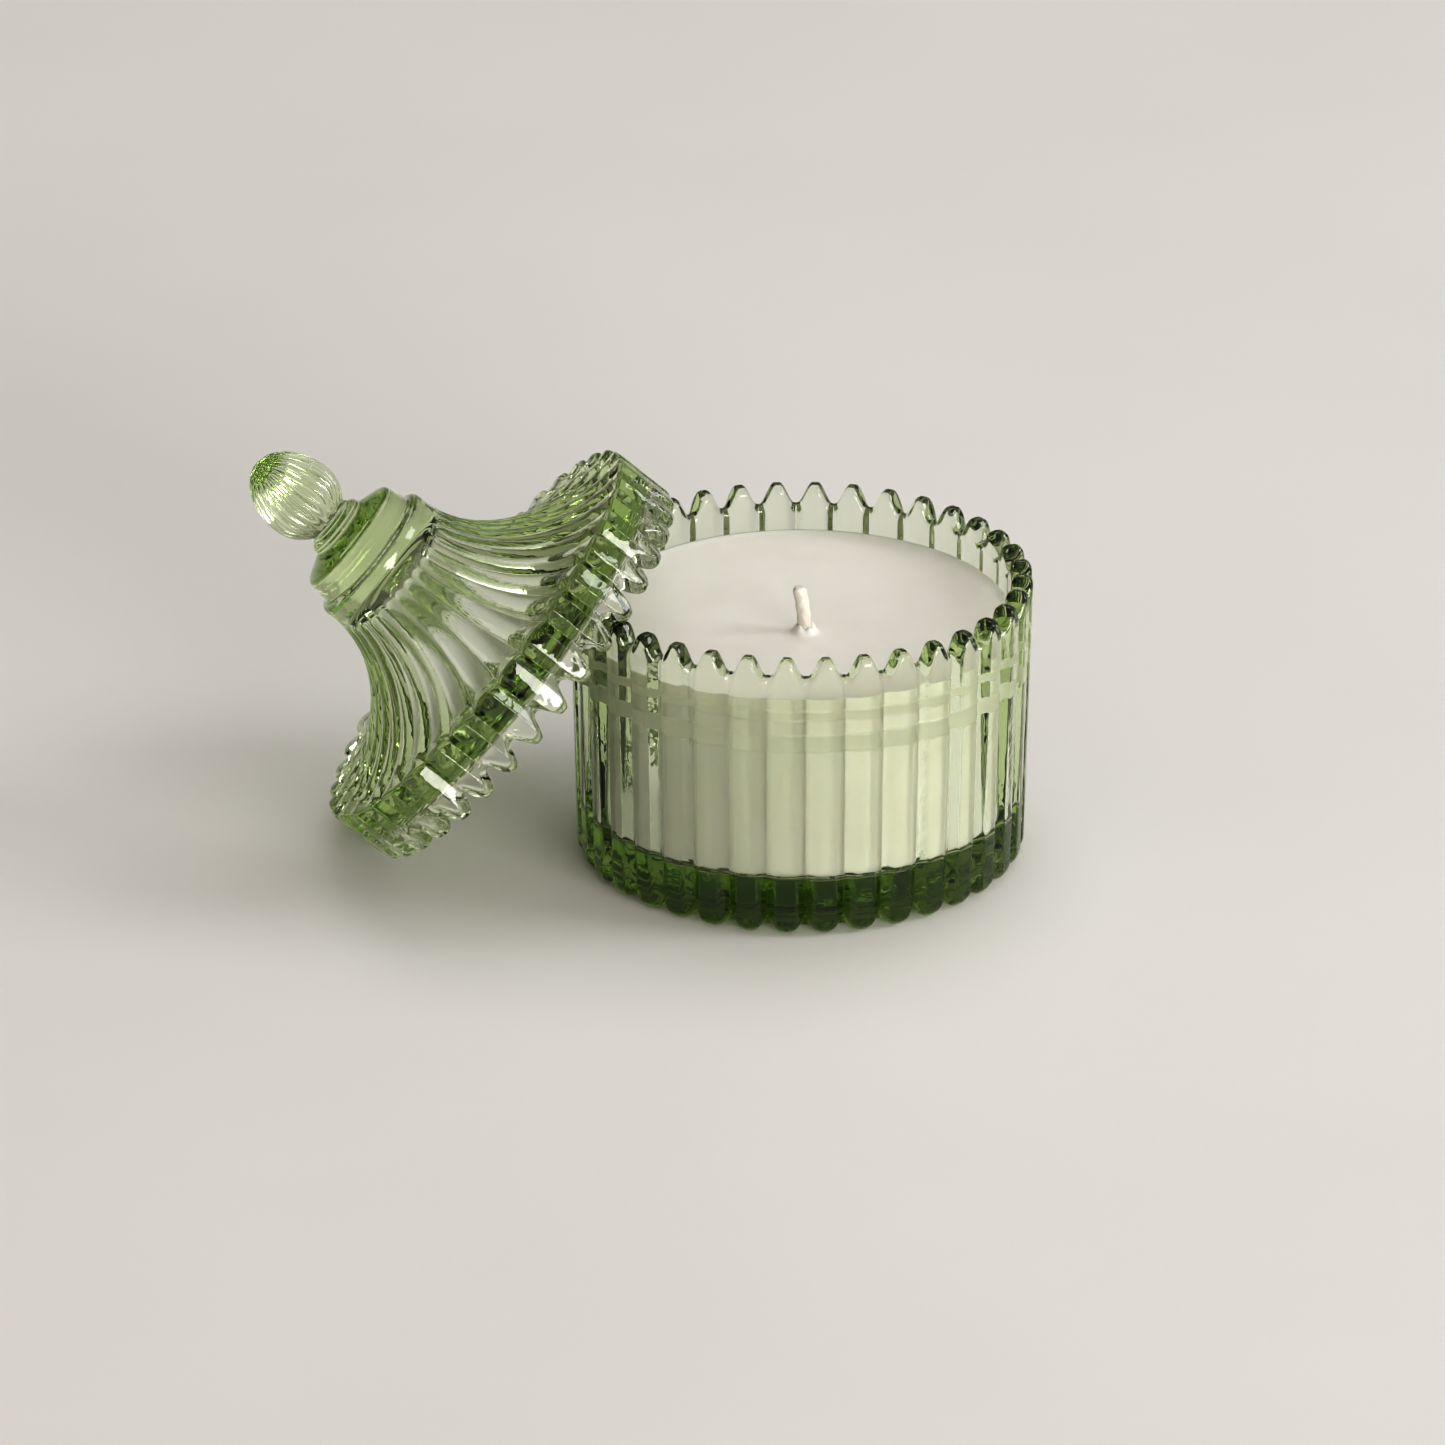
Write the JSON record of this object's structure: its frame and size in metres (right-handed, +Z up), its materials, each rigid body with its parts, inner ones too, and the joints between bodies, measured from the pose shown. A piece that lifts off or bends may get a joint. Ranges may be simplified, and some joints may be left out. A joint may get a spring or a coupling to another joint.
{
  "type": "lidded glass candle jar",
  "caption": "Ribbed pressed-glass jar with a toothed rim, filled with wax round a cotton wick, and its tent-shaped glass lid with an egg-shaped knob leaning on the rim.",
  "frame": {"origin": "centre of the jar's flat foot, on the table", "axes": "+Z up along the jar's axis; the lid leans on the -X side; +Y away from the viewer"},
  "size_m": [0.1511, 0.0929, 0.0798],
  "materials": {
    "jar_glass": "fire-polished pressed glass, leaf green, dark where it is thick",
    "lid_glass": "fire-polished pressed glass, leaf green",
    "wax": "smooth poured wax, softly shining",
    "cotton": "waxed braided cotton",
    "tin": "thin stamped tin",
    "adhesive": "soft foam adhesive"
  },
  "bodies": {
    "jar": {"jar_body": "jar_glass", "candle_wax": "wax", "wick": "cotton", "wick_sustainer": "tin", "wick_adhesive": "adhesive"},
    "lid": {"lid": "lid_glass"}
  },
  "joints": [
    {"name": "lid_lift", "type": "slide", "parent": "jar", "child": "lid", "axis": [-0.7683, 0.0403, 0.6388], "range_m": [0, 0.1]}
  ]
}
